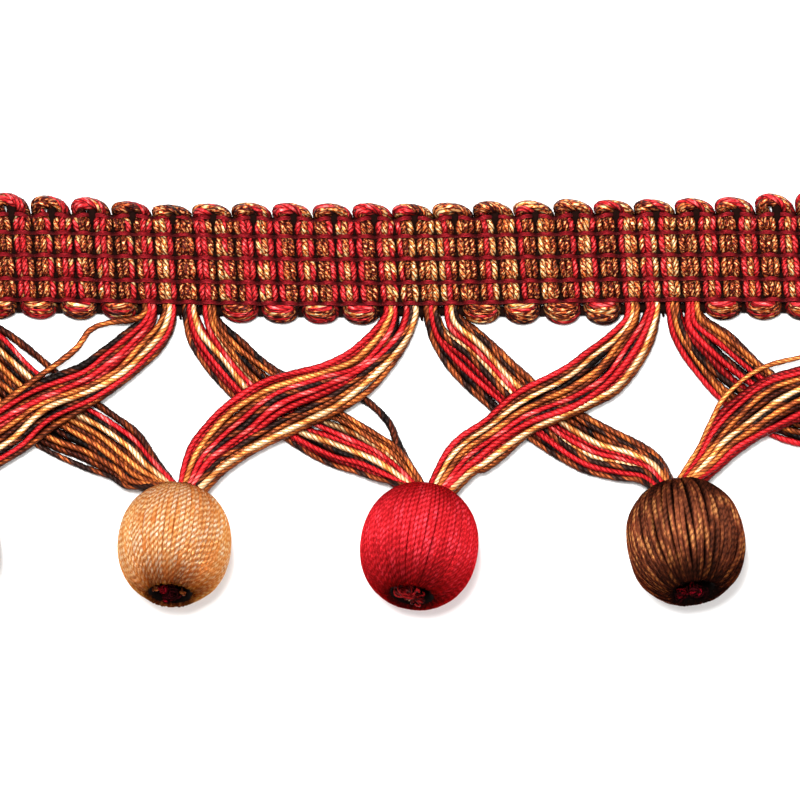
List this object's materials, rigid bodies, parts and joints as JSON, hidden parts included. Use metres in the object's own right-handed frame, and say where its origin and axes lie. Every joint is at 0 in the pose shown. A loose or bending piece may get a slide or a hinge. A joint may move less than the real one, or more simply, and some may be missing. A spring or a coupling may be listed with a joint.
{
  "type": "ball fringe trimming, cut length",
  "caption": "Flat ball fringe for edging cushions and curtains: a looped gimp braid with crossed skeins of twisted yarn that carry yarn-wrapped balls",
  "frame": {"origin": "on the flat back of the braid heading, below the middle root of the skeins and between the second and fourth warp cords", "axes": "+X runs along the heading, +Y points from the balls to the looped top edge, +Z is the face, away from what it is sewn to"},
  "size_m": [0.191, 0.0632, 0.018],
  "materials": {
    "gimp_yarn": "woven rayon yarn bundles in red, gold, brown and cream, satin sheen",
    "warp_yarn": "burgundy twisted thread",
    "skein_yarn": "loose twisted rayon yarns in red, gold, brown and cream, high sheen",
    "gold_yarn": "gold rayon floss wound round a bead, high sheen",
    "red_yarn": "crimson rayon floss wound round a bead, high sheen",
    "brown_yarn": "dark brown rayon floss wound round a bead, satin sheen"
  },
  "bodies": {
    "root": {"heading": "gimp_yarn", "warp_1": "warp_yarn", "warp_2": "warp_yarn", "warp_3": "warp_yarn", "warp_4": "warp_yarn", "warp_5": "warp_yarn", "ball_1": "brown_yarn", "tuft_1": "warp_yarn", "ball_2": "gold_yarn", "tuft_2": "warp_yarn", "ball_3": "red_yarn", "tuft_3": "warp_yarn", "ball_4": "brown_yarn", "tuft_4": "warp_yarn", "ball_5": "gold_yarn", "tuft_5": "warp_yarn", "skein_end_left": "skein_yarn", "skein_right_1": "skein_yarn", "skein_right_2": "skein_yarn", "skein_right_3": "skein_yarn", "skein_right_4": "skein_yarn", "skein_left_2": "skein_yarn", "skein_left_3": "skein_yarn", "skein_left_4": "skein_yarn", "skein_left_5": "skein_yarn", "skein_end_right": "skein_yarn"}
  },
  "joints": []
}
